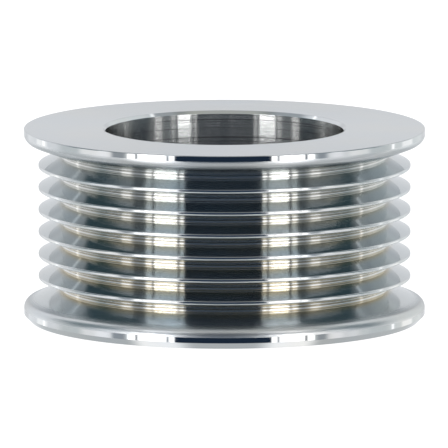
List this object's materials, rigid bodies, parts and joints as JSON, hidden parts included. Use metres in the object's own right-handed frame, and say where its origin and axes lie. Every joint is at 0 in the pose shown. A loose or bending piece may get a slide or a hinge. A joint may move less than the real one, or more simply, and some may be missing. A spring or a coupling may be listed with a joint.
{
  "type": "supercharger belt pulley",
  "caption": "Multi-rib belt pulley with two flanges and an open-mouthed bore, turning on a pair of sealed ball bearings held by a snap ring.",
  "frame": {"origin": "centre of the rear flange's flat face, on the axis", "axes": "+Z along the pulley's axis from the rear flange towards the open mouth; +X and +Y across it, with the gap in the retaining ring towards -Y"},
  "size_m": [0.064, 0.064, 0.0308],
  "materials": {
    "plated_steel": "bright zinc plate over fine turning marks, with a faint blue and gold tint",
    "spring_steel": "dark phosphate and oil",
    "spacer_steel": "turned",
    "bearing_steel": "ground",
    "ball_steel": "polished",
    "cage_steel": "pressed sheet",
    "rivet_brass": "upset heads",
    "seal_rubber": "moulded nitrile"
  },
  "bodies": {
    "inner_rings": {"front_inner_ring": "bearing_steel", "rear_inner_ring": "bearing_steel", "inner_spacer": "spacer_steel"},
    "pulley": {"pulley_rim": "plated_steel", "retaining_ring": "spring_steel", "outer_spacer": "spacer_steel", "front_outer_ring": "bearing_steel", "rear_outer_ring": "bearing_steel", "front_seal_upper": "seal_rubber", "front_seal_lower": "seal_rubber", "rear_seal_upper": "seal_rubber", "rear_seal_lower": "seal_rubber"},
    "front_ball_set": {"front_balls": "ball_steel", "front_cage_upper": "cage_steel", "front_cage_lower": "cage_steel", "front_cage_rivets": "rivet_brass"},
    "rear_ball_set": {"rear_balls": "ball_steel", "rear_cage_upper": "cage_steel", "rear_cage_lower": "cage_steel", "rear_cage_rivets": "rivet_brass"}
  },
  "joints": [
    {"name": "pulley_spin", "type": "hinge", "parent": "inner_rings", "child": "pulley", "pos_m": [0, 0, 0], "axis": [0, 0, 1], "continuous": true},
    {"name": "front_ball_set_spin", "type": "hinge", "parent": "inner_rings", "child": "front_ball_set", "pos_m": [0, 0, 0], "axis": [0, 0, 1], "continuous": true},
    {"name": "rear_ball_set_spin", "type": "hinge", "parent": "inner_rings", "child": "rear_ball_set", "pos_m": [0, 0, 0], "axis": [0, 0, 1], "continuous": true}
  ],
  "couplings": [
    {"joint": "front_ball_set_spin", "follows": "pulley_spin", "ratio": 0.59158},
    {"joint": "rear_ball_set_spin", "follows": "pulley_spin", "ratio": 0.59158}
  ]
}
